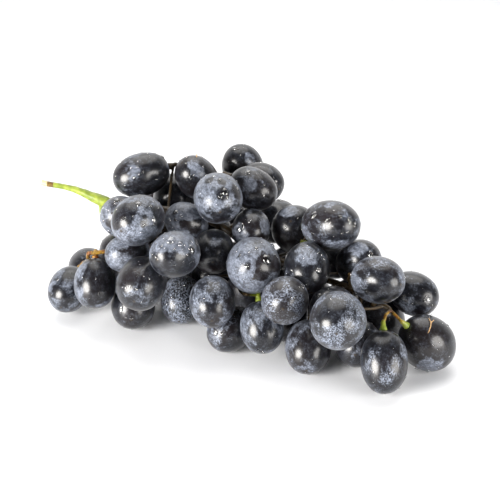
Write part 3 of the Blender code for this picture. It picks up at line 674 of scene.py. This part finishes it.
def skin_material(settings):
    """Ripe black grape skin: a dark, softly glossy cuticle under a dusty, blue-grey coat of wax.

    The wax scatters light, so it is pale and dull. It clings in clouds and fine speckles, and where
    leaves or fingers rubbed it off, the dark skin shines. Bare skin is also put on some sides that lie in
    shadow, as painted shade.
    """
    material, tree = new_material("bloomed_black_grape_skin")
    # bloom also carries painted shade: bloom taken off shaded sides and off the front of inner berries.
    bloom = add(tree, "ShaderNodeAttribute", attribute_name="bloom").outputs["Fac"]
    speckle = add(tree, "ShaderNodeAttribute", attribute_name="speckle").outputs["Fac"]
    scar = add(tree, "ShaderNodeAttribute", attribute_name="scar").outputs["Fac"]
    place = add(tree, "ShaderNodeAttribute", attribute_name="skin_place").outputs["Vector"]
    noises = []
    # The places on the skin are in mm, so the size of a pattern is too.
    for size, detail, roughness, distortion in (
        (settings.patch, 3.0, 0.55, 0.8),
        (settings.cloud, 5.0, 0.62, 0.4),
        (settings.grain, 3.0, 0.6, 0.0),
        (settings.cloud * 0.6, 4.0, 0.68, 0.6),
        (settings.warm_side, 1.0, 0.5, 0.0),
    ):
        inputs = {"Vector": place, "Scale": 1 / size, "Detail": detail, "Roughness": roughness}
        noises.append(add(tree, "ShaderNodeTexNoise", {**inputs, "Distortion": distortion}))
    patches, clouds, grain, wax, warmth = noises

    # Where the bloom lies: in patches with clouded, grainy edges, with small dark dots in them.
    level = add(tree, "ShaderNodeMath", (patches, 1.8, bloom), operation="MULTIPLY_ADD")
    level = add(tree, "ShaderNodeMath", (clouds, 0.9, level), operation="MULTIPLY_ADD")
    level = add(tree, "ShaderNodeMath", (grain, 0.5, level), operation="MULTIPLY_ADD")
    cover = add(tree, "ShaderNodeMapRange", (level, 2.06, 2.55), **EASED)
    dots = add(tree, "ShaderNodeTexVoronoi", {"Vector": place, "Scale": 1 / settings.dot})
    dots = add(tree, "ShaderNodeMapRange", (dots, 0.06, 0.17, 0.2, 1.0), **EASED)
    cover = add(tree, "ShaderNodeMath", (cover, dots), operation="MULTIPLY")

    # How thick it lies there: clouded, and broken by fine speckles.
    thick = add(tree, "ShaderNodeMapRange", (wax, 0.35, 0.66, 0.24, 0.75), **EASED)
    holes = add(tree, "ShaderNodeMapRange", (grain, 0.43, 0.58, -0.95, 0.6), **EASED)
    holes = add(tree, "ShaderNodeMath", (holes, speckle, 1.0), operation="MULTIPLY_ADD")
    dust = add(tree, "ShaderNodeMath", (cover, thick), operation="MULTIPLY")
    dust = add(tree, "ShaderNodeMath", (dust, holes), operation="MULTIPLY")

    # A faint haze stays on the rubbed skin, and the scar is bare.
    haze = add(tree, "ShaderNodeMapRange", (grain, 0.36, 0.66), **EASED)
    veil = add(tree, "ShaderNodeMapRange", (clouds, 0.4, 0.66, 0.01, 0.15), **EASED)
    haze = add(tree, "ShaderNodeMath", (haze, veil), operation="MULTIPLY")
    film = add(tree, "ShaderNodeMath", (dust, 0.94), operation="MULTIPLY")
    film = add(tree, "ShaderNodeMath", (film, haze), operation="MAXIMUM")
    waxed = add(tree, "ShaderNodeMath", (1.0, scar), operation="SUBTRACT")
    film = add(tree, "ShaderNodeMath", (film, waxed), operation="MULTIPLY")

    warm = add(tree, "ShaderNodeMapRange", (warmth, 0.4, 0.6), **EASED)
    skin = add(tree, "ShaderNodeMix", {0: warm, 6: settings.skin, 7: settings.ripe_side}, **COLOURS)
    skin = add(tree, "ShaderNodeMix", {0: scar, 6: skin, 7: settings.scar}, **COLOURS)
    skin = add(tree, "ShaderNodeMix", {0: film, 6: skin, 7: settings.bloom}, **COLOURS)
    height = add(tree, "ShaderNodeMath", (grain, 0.3, dust), operation="MULTIPLY_ADD")
    bump = add(tree, "ShaderNodeBump", {"Strength": 0.35, "Distance": 0.05 * MM, "Height": height})
    shader = add(
        tree,
        "ShaderNodeBsdfPrincipled",
        {
            "Base Color": skin,
            "Roughness": add(tree, "ShaderNodeMapRange", (dust, 0.0, 0.6, 0.28, 0.5), **EASED),
            "IOR": 1.38,
            "Coat Weight": 0.3,
            "Coat Roughness": 0.17,
            "Sheen Weight": 0.025,
            "Sheen Roughness": 0.3,
            "Normal": bump,
        },
    )
    add(tree, "ShaderNodeOutputMaterial", {"Surface": shader})
    return material


class GRAPES_OT_berries(bpy.types.Operator):
    """Makes each berry's skin around its CAD node"""

    bl_idname = "grapes.berries"
    bl_label = "Berries"

    def execute(self, context):
        settings = context.scene.grape_skin
        material = skin_material(settings)
        for berry in BUNCH:
            piece = new_object(f"grape_{berry.short}", berry_mesh(berry, settings), material)
            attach(piece, "root")
            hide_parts(berry.node)
        return {"FINISHED"}


# ------------------------------------------------------------------------------------------ stem


def bark_material(settings):
    """Fresh grape stem: thin, waxy green bark that turns brown and woody at the cut and at the forks. All
    through the bunch it is painted dark brown as shade, save for a few green places.
    """
    material, tree = new_material("green_grape_stem_bark")
    # brown marks the woody singed ring, and the inner stem where it is painted shade.
    brown = add(tree, "ShaderNodeAttribute", attribute_name="brown").outputs["Fac"]
    rust = add(tree, "ShaderNodeAttribute", attribute_name="rust").outputs["Fac"]
    cut = add(tree, "ShaderNodeAttribute", attribute_name="cut").outputs["Fac"]
    place = add(tree, "ShaderNodeTexCoord").outputs["Object"]
    scale = {name: 1 / (size * MM) for name, size in BARK_SIZES.items()}
    mottle = add(tree, "ShaderNodeTexNoise", {"Vector": place, "Scale": scale["mottle"], "Detail": 4.0})
    fine = add(tree, "ShaderNodeTexNoise", {"Vector": place, "Scale": scale["fine"], "Detail": 3.0})
    pores = add(tree, "ShaderNodeTexVoronoi", {"Vector": place, "Scale": scale["pores"]})

    # Green bark, deeper in its grooves, with rusty pores.
    grooves = add(tree, "ShaderNodeMapRange", (mottle, 0.35, 0.65))
    green = add(tree, "ShaderNodeMix", {0: grooves, 6: settings.green, 7: settings.deep}, **COLOURS)
    pores = add(tree, "ShaderNodeMapRange", (pores, 0.16, 0.08))
    pores = add(tree, "ShaderNodeMath", (pores, 0.5), operation="MULTIPLY")
    green = add(tree, "ShaderNodeMix", {0: pores, 6: green, 7: settings.rust}, **COLOURS)

    # Brown where it has turned woody, and on the inner stem as painted shade.
    woody = add(tree, "ShaderNodeMath", (mottle, 0.7, brown), operation="MULTIPLY_ADD")
    woody = add(tree, "ShaderNodeMapRange", (woody, 0.65, 0.95))
    bark = add(tree, "ShaderNodeMix", {0: woody, 6: green, 7: settings.brown}, **COLOURS)

    # Rust and ochre with brown flecks where it is just turning.
    ochre = add(tree, "ShaderNodeMapRange", (mottle, 0.4, 0.5))
    turning = add(tree, "ShaderNodeMix", {0: ochre, 6: settings.rust, 7: settings.ochre}, **COLOURS)
    flecks = add(tree, "ShaderNodeMapRange", (fine, 0.56, 0.66))
    turning = add(tree, "ShaderNodeMix", {0: flecks, 6: turning, 7: settings.brown}, **COLOURS)
    rusty = add(tree, "ShaderNodeMapRange", (fine, 0.38, 0.5))
    rusty = add(tree, "ShaderNodeMath", (rust, rusty), operation="MULTIPLY")
    bark = add(tree, "ShaderNodeMix", {0: rusty, 6: bark, 7: turning}, **COLOURS)

    # Pale wood with a few rusty fibres at the peeled end.
    fibres = add(tree, "ShaderNodeMapRange", (fine, 0.5, 0.9))
    wood = add(tree, "ShaderNodeMix", {0: fibres, 6: settings.wood, 7: settings.rust}, **COLOURS)
    surface = add(tree, "ShaderNodeMix", {0: cut, 6: bark, 7: wood}, **COLOURS)

    height = add(tree, "ShaderNodeMath", (mottle, fine), operation="ADD")
    bump = add(tree, "ShaderNodeBump", {"Strength": 0.5, "Distance": 0.12 * MM, "Height": height})
    shader = add(
        tree,
        "ShaderNodeBsdfPrincipled",
        {
            "Base Color": surface,
            "Roughness": 0.42,
            "Subsurface Weight": 0.15,
            "Subsurface Radius": (1.0, 1.0, 0.4),
            "Subsurface Scale": 0.8 * MM,
            "Normal": bump,
        },
    )
    add(tree, "ShaderNodeOutputMaterial", {"Surface": shader})
    return material


def stalk_middle(far):
    """The middle of the stalk this many mm in from its cut end."""
    from_end = np.linalg.norm(STEM_POINTS - CUT_END, axis=1) / MM
    weights = np.clip(1 - np.abs(from_end - far) / STALK_RINGS, 0, None)
    return weights @ STEM_POINTS / weights.sum()


def flat_ball(middle, axis, radius, thickness):
    """The place and shape of a ball that is flattened along this axis."""
    turn = Vector(axis).to_track_quat("Z", "Y").to_matrix().to_4x4()
    shape = Matrix.Diagonal((radius, radius, thickness, 1.0))
    return Matrix.Translation(middle) @ turn @ shape


def dried_material(settings):
    """A withered style: papery, tan to brown and quite dull."""
    material, tree = new_material("withered_style")
    place = add(tree, "ShaderNodeTexCoord").outputs["Object"]
    fibre = add(tree, "ShaderNodeTexNoise", {"Vector": place, "Scale": 1 / (FIBRES * MM)})
    tan = add(tree, "ShaderNodeMix", {0: fibre, 6: settings.tan, 7: settings.brown}, **COLOURS)
    shader = add(tree, "ShaderNodeBsdfPrincipled", {"Base Color": tan, "Roughness": 0.75})
    add(tree, "ShaderNodeOutputMaterial", {"Surface": shader})
    return material


class GRAPES_OT_style(bpy.types.Operator):
    """Lays the withered, forked styles of the flowers on the berries where they have stuck"""

    bl_idname = "grapes.style"
    bl_label = "Withered styles"

    def execute(self, context):
        settings = context.scene.grape_style
        shape = bmesh.new()
        for short, line in STYLES:
            berry = next(b for b in BUNCH if b.short == short)
            for right, up, lift, radius in line:
                spot = berry.spot(right, up)
                place = Matrix.Translation(spot + berry.normal(spot) * lift * MM)
                bmesh.ops.create_icosphere(shape, subdivisions=2, radius=radius * MM, matrix=place)
        mesh = bpy.data.meshes.new("withered_styles")
        shape.to_mesh(mesh)
        shape.free()
        piece = new_object("withered_styles", mesh)
        even_skin(piece, settings.voxel, rounds=3)
        piece.data.materials.clear()
        piece.data.materials.append(dried_material(settings))
        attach(piece, "root")
        return {"FINISHED"}


class GRAPES_OT_stem(bpy.types.Operator):
    """Makes the branching stem from a copy of its CAD node, with a swollen seat at each berry"""

    bl_idname = "grapes.stem"
    bl_label = "Stem"

    def execute(self, context):
        settings = context.scene.grape_stem
        shape = bmesh.new()
        shape.from_mesh(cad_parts["stem"].data)
        bmesh.ops.remove_doubles(shape, verts=shape.verts, dist=0.001 * MM)
        for berry in BUNCH:
            for out, radius, thickness in SEAT:
                middle = berry.stem_end - berry.axis * out * MM
                seat = flat_ball(middle, berry.axis, radius * MM, thickness * MM)
                bmesh.ops.create_icosphere(shape, subdivisions=2, radius=1.0, matrix=seat)
        for far in np.arange(SWELLING[0][0], SWELLING[-1][0], BALL_STEP):
            self.ball(shape, stalk_middle(far), np.interp(far, *zip(*SWELLING)))
        far, reach, wide, narrow = SPUR
        for step in np.linspace(0, 1, round(reach / BALL_STEP)):
            middle = stalk_middle(far) - view_axes()[1] * reach * step * MM
            self.ball(shape, middle, wide + (narrow - wide) * step)
        mesh = bpy.data.meshes.new("stem_bark")
        shape.to_mesh(mesh)
        shape.free()
        piece = new_object("stem_bark", mesh)
        even_skin(piece, settings.voxel, rounds=6)
        self.colour_zones(piece.data)
        piece.data.materials.clear()
        piece.data.materials.append(bark_material(settings))
        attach(piece, "root")
        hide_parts("stem")
        return {"FINISHED"}

    def ball(self, shape, middle, radius):
        """Adds a ball to the stem's shape; its radius is in mm."""
        place = Matrix.Translation(middle)
        bmesh.ops.create_icosphere(shape, subdivisions=2, radius=radius * MM, matrix=place)

    def colour_zones(self, mesh):
        """Marks where the bark is brown, which is woody at the singed ring and painted shade on the inner
        stem, where it is rusty, and where it is peeled.
        """
        points = corners(mesh)
        from_end = np.linalg.norm(points - CUT_END, axis=1) / MM
        # Past the green stalk the bark is marked brown, which is painted shade on the inner stem.
        brown = smooth((from_end - GREEN_STALK_THEN_SHADE[0]) / GREEN_STALK_THEN_SHADE[1])
        singed = smooth(SINGED_FADE - np.abs(from_end - SINGED[0]) / SINGED[1])
        brown += singed
        rust = SINGED_RUST * singed
        for values, places in ((brown, GREEN_PLACES), (rust, RUSTY_PLACES)):
            for short, beyond, reach, change in places:
                berry = next(b for b in BUNCH if b.short == short)
                spot = berry.stem_end - berry.axis * beyond * MM
                away = np.linalg.norm(points - spot, axis=1) / (reach * MM)
                values += change * smooth(PLACE_FADE - away)
        store(mesh, "brown", brown)
        store(mesh, "rust", np.clip(rust, 0, 1))
        store(mesh, "cut", smooth((PEELED - from_end) / PEEL_EDGE + 0.5))


# ----------------------------------------------------------------------------------------- water


def water_material():
    """Clean water: clear, and smooth enough to mirror the lamps as small sharp glints."""
    material, tree = new_material("clear_water")
    shader = add(
        tree,
        "ShaderNodeBsdfPrincipled",
        {
            "Base Color": (1, 1, 1, 1),
            "Roughness": 0.03,
            "IOR": 1.333,
            "Transmission Weight": 1.0,
            "Coat Weight": 1.0,
            "Coat IOR": 1.9,
            "Coat Roughness": 0.08,
        },
    )
    add(tree, "ShaderNodeOutputMaterial", {"Surface": shader})
    return material


def bead_tree():
    """Geometry nodes that set round beads of water on the placed points, and fine ones on the faces."""
    tree = bpy.data.node_groups.new("water_beads", "GeometryNodeTree")
    face = tree.interface
    face.new_socket("Geometry", in_out="INPUT", socket_type="NodeSocketGeometry")
    for name in ("Fine Beads", "Smallest", "Largest", "Height", "Wobble"):
        face.new_socket(name, in_out="INPUT", socket_type="NodeSocketFloat")
    face.new_socket("Seed", in_out="INPUT", socket_type="NodeSocketInt")
    face.new_socket("Water", in_out="INPUT", socket_type="NodeSocketMaterial")
    face.new_socket("Geometry", in_out="OUTPUT", socket_type="NodeSocketGeometry")
    given = add(tree, "NodeGroupInput").outputs
    stored = {}
    for name, kind in WATER_DATA.items():
        stored[name] = add(tree, "GeometryNodeInputNamedAttribute", {"Name": name}, data_type=kind)

    def beads(points, turn, radius, sag, ball_shape):
        """Balls on these points, flattened on the skin and drawn out downhill as far as they sag."""
        segments, rings = ball_shape
        downhill = add(
            tree,
            "FunctionNodeAlignRotationToVector",
            {"Rotation": turn, "Vector": (0.0, 0.0, -1.0)},
            axis="X",
            pivot_axis="Z",
        )
        ball = add(tree, "GeometryNodeMeshUVSphere", {"Segments": segments, "Rings": rings})
        drawn = add(tree, "ShaderNodeMath", (sag, 1.0), operation="ADD")
        drawn = add(tree, "ShaderNodeMath", (radius, drawn), operation="MULTIPLY")
        high = add(tree, "ShaderNodeMath", (radius, given["Height"]), operation="MULTIPLY")
        size = add(tree, "ShaderNodeCombineXYZ", (drawn, radius, high))
        return add(
            tree,
            "GeometryNodeInstanceOnPoints",
            {"Points": points, "Instance": ball, "Rotation": downhill, "Scale": size},
        )

    wanted = add(tree, "ShaderNodeMath", (stored["bead_radius"], 0.0), operation="GREATER_THAN")
    spots = add(tree, "GeometryNodeMeshToPoints", {"Mesh": given["Geometry"], "Selection": wanted})
    upright = add(
        tree, "FunctionNodeAlignRotationToVector", {"Vector": stored["bead_normal"]}, axis="Z"
    )
    large = beads(spots, upright, stored["bead_radius"], stored["bead_sag"], LARGE_BEAD)

    density = add(tree, "ShaderNodeMath", (stored["dew"], given["Fine Beads"]), operation="MULTIPLY")
    scatter = add(
        tree,
        "GeometryNodeDistributePointsOnFaces",
        {"Mesh": given["Geometry"], "Density": density, "Seed": given["Seed"]},
        distribute_method="RANDOM",
    ).outputs
    chance = add(
        tree, "FunctionNodeRandomValue", {2: 0.0, 3: 1.0, "Seed": given["Seed"]}, data_type="FLOAT"
    )
    # Most fine beads are small.
    chance = add(tree, "ShaderNodeMath", (chance, 2.5), operation="POWER")
    spread = add(tree, "ShaderNodeMath", (given["Largest"], given["Smallest"]), operation="SUBTRACT")
    radius = add(
        tree, "ShaderNodeMath", (chance, spread, given["Smallest"]), operation="MULTIPLY_ADD"
    )
    small = beads(scatter["Points"], scatter["Rotation"], radius, 0.0, FINE_BEAD)

    both = add(tree, "GeometryNodeJoinGeometry")
    for part in (small, large):
        tree.links.new(part.outputs[0], both.inputs[0])
    real = add(tree, "GeometryNodeRealizeInstances", {"Geometry": both})
    place = add(tree, "GeometryNodeInputPosition")
    sway = add(
        tree, "ShaderNodeTexNoise", {"Vector": place, "Scale": 1 / (SWAY_SIZE * MM), "Detail": 1.0}
    ).outputs["Color"]
    sway = add(tree, "ShaderNodeVectorMath", (sway, (0.5,) * 3), operation="SUBTRACT")
    sway = add(tree, "ShaderNodeVectorMath", {0: sway, "Scale": given["Wobble"]}, operation="SCALE")
    moved = add(tree, "GeometryNodeSetPosition", {"Geometry": real, "Offset": sway})
    moved = add(tree, "GeometryNodeSetShadeSmooth", {"Geometry": moved})
    wet = add(tree, "GeometryNodeSetMaterial", {"Geometry": moved, "Material": given["Water"]})
    add(tree, "NodeGroupOutput", (wet,))
    return tree


class GRAPES_OT_water(bpy.types.Operator):
    """Sets beads of water on the berries"""

    bl_idname = "grapes.water"
    bl_label = "Water beads"

    def execute(self, context):
        settings = context.scene.grape_water
        points, faces, dew = [], [], []
        start = 0
        upwards = view_axes()[1]
        for berry in BUNCH:
            mesh = bpy.data.objects[f"grape_{berry.short}"].data
            own = corners(mesh)
            points.append(own)
            faces.extend(tuple(v + start for v in face.vertices) for face in mesh.polygons)
            height = (own - berry.middle) @ upwards / berry.along
            dew.append(berry.dew * smooth(DEW_SPREAD[0] + DEW_SPREAD[1] * height))
            start += len(own)
        beads = [(berry, spot, size, sag) for berry in BUNCH for spot, size, sag in berry.beads]
        points.append(np.array([spot for _, spot, _, _ in beads]))
        mesh = mesh_from("water_beads", np.vstack(points), faces)
        blank = np.zeros(start)
        normals = [berry.normal(spot) for berry, spot, _, _ in beads]
        data = {
            "dew": np.concatenate([*dew, np.zeros(len(beads))]),
            "bead_radius": np.concatenate([blank, [size * MM for _, _, size, _ in beads]]),
            "bead_sag": np.concatenate([blank, [sag for _, _, _, sag in beads]]),
            "bead_normal": np.vstack([np.zeros((start, 3)), normals]),
        }
        for name, kind in WATER_DATA.items():
            store(mesh, name, data[name], kind)
        piece = new_object("water_beads", mesh)
        modifier = piece.modifiers.new("water_beads", "NODES")
        modifier.node_group = bead_tree()
        values = {
            "Fine Beads": settings.density * CM2_IN_M2,
            "Smallest": settings.smallest * MM,
            "Largest": settings.largest * MM,
            "Height": settings.height,
            "Wobble": settings.wobble * MM,
            "Seed": settings.seed,
            "Water": water_material(),
        }
        for item in modifier.node_group.interface.items_tree:
            if item.in_out == "INPUT" and item.name in values:
                modifier[item.identifier] = values[item.name]
        finished(piece)
        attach(piece, "root")
        return {"FINISHED"}


# ----------------------------------------------------------------------------------------- stage


class GRAPES_OT_stage(bpy.types.Operator):
    """Lays a pale table top, sets soft studio light and places the camera in front"""

    bl_idname = "grapes.stage"
    bl_label = "Stage"

    def execute(self, context):
        settings = context.scene.grape_stage
        right, _, towards = (Vector(v) for v in view_axes())
        target = Vector(VIEW_CENTRE) * MM
        self.lay_floor(settings)
        away, sideways, down = SIDE_LAMPS
        front = (towards - Vector((0, 0, down))).normalized()
        self.hang("left", target, target + (front - right * sideways) * away, settings.left)
        self.hang("right", target, target + (front + right * sideways) * away, settings.right)
        height, back = TOP_LAMP
        self.hang("top", target, target + (Vector((0, 0, 1)) - towards * back) * height, settings.top)
        self.light_room(context, settings, towards)
        self.place_camera(context, settings, target, towards)
        context.scene.view_settings.view_transform = "Standard"
        return {"FINISHED"}

    def light_room(self, context, settings, towards):
        """A dim room with a bright white wall behind the bunch."""
        world = bpy.data.worlds.new("studio")
        context.scene.world = world
        world.use_nodes = True
        tree = world.node_tree
        tree.nodes.clear()
        sky = add(tree, "ShaderNodeTexCoord").outputs["Generated"]
        back = (-towards.x, -towards.y, 0.0)
        behind = add(tree, "ShaderNodeVectorMath", (sky, back), operation="DOT_PRODUCT")
        strength = add(tree, "ShaderNodeMapRange", (behind, *BACKDROP, settings.room, settings.backdrop))
        light = add(tree, "ShaderNodeBackground", {"Color": (1, 1, 1, 1), "Strength": strength})
        add(tree, "ShaderNodeOutputWorld", {"Surface": light})

    def place_camera(self, context, settings, target, towards):
        camera = bpy.data.objects.new("camera", bpy.data.cameras.new("camera"))
        context.scene.collection.objects.link(camera)
        camera.data.lens = settings.lens
        camera.data.sensor_width = 36
        camera.data.clip_start = 0.01
        camera.location = target + towards * settings.distance
        camera.rotation_euler = towards.to_track_quat("Z", "Y").to_euler()
        context.scene.camera = camera

    def lay_floor(self, settings):
        """A matt white lacquered table top: pale and even, so it shows only soft shadows."""
        material, tree = new_material("matt_white_table")
        shader = add(
            tree, "ShaderNodeBsdfPrincipled", {"Base Color": settings.floor, "Roughness": 0.5}
        )
        add(tree, "ShaderNodeOutputMaterial", {"Surface": shader})
        rim = [(-TABLE, -TABLE, 0), (TABLE, -TABLE, 0), (TABLE, TABLE, 0), (-TABLE, TABLE, 0)]
        mesh = mesh_from("table_top", rim, [(0, 1, 2, 3)])
        new_object("table_top", mesh, material)

    def hang(self, side, target, place, power):
        """Hangs a round softbox at this place, facing the target."""
        name = f"{side}_softbox"
        light = bpy.data.lights.new(name, "AREA")
        light.shape = "DISK"
        light.size = LAMP_SIZES[side]
        light.energy = power
        light.color = LAMP_TINT
        lamp = bpy.data.objects.new(name, light)
        bpy.context.scene.collection.objects.link(lamp)
        lamp.location = place
        lamp.rotation_euler = (place - target).to_track_quat("Z", "Y").to_euler()


class GRAPES_PT_panel(bpy.types.Panel):
    """The steps that dress the bunch, with their settings"""

    bl_idname = "GRAPES_PT_panel"
    bl_label = "Black grapes"
    bl_space_type = "VIEW_3D"
    bl_region_type = "UI"
    bl_category = "Grapes"

    def draw(self, context):
        for step, name in STEPS.items():
            box = self.layout.box()
            box.operator(step.bl_idname)
            settings = getattr(context.scene, name)
            for key in settings.__annotations__:
                box.prop(settings, key)


STEPS = {
    GRAPES_OT_berries: "grape_skin",
    GRAPES_OT_stem: "grape_stem",
    GRAPES_OT_style: "grape_style",
    GRAPES_OT_water: "grape_water",
    GRAPES_OT_stage: "grape_stage",
}
GROUPS = {
    "grape_skin": GrapeSkinSettings,
    "grape_stem": StemSettings,
    "grape_style": StyleSettings,
    "grape_water": WaterSettings,
    "grape_stage": StageSettings,
}


def register():
    for name, group in GROUPS.items():
        bpy.utils.register_class(group)
        setattr(bpy.types.Scene, name, bpy.props.PointerProperty(type=group))
    for step in STEPS:
        bpy.utils.register_class(step)
    bpy.utils.register_class(GRAPES_PT_panel)


def unregister():
    bpy.utils.unregister_class(GRAPES_PT_panel)
    for step in STEPS:
        bpy.utils.unregister_class(step)
    for name, group in GROUPS.items():
        delattr(bpy.types.Scene, name)
        bpy.utils.unregister_class(group)


STEM_POINTS = node_points("stem")
CUT_END = STEM_POINTS[STEM_POINTS[:, 0] < STEM_POINTS[:, 0].min() + 1.0 * MM].mean(0)
BUNCH = [Berry(node, STEM_POINTS) for node in sorted(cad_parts) if node.startswith("berry_")]


def main():
    register()
    bpy.ops.grapes.berries()
    bpy.ops.grapes.stem()
    bpy.ops.grapes.style()
    bpy.ops.grapes.water()
    bpy.ops.grapes.stage()


if __name__ == "__main__":
    main()
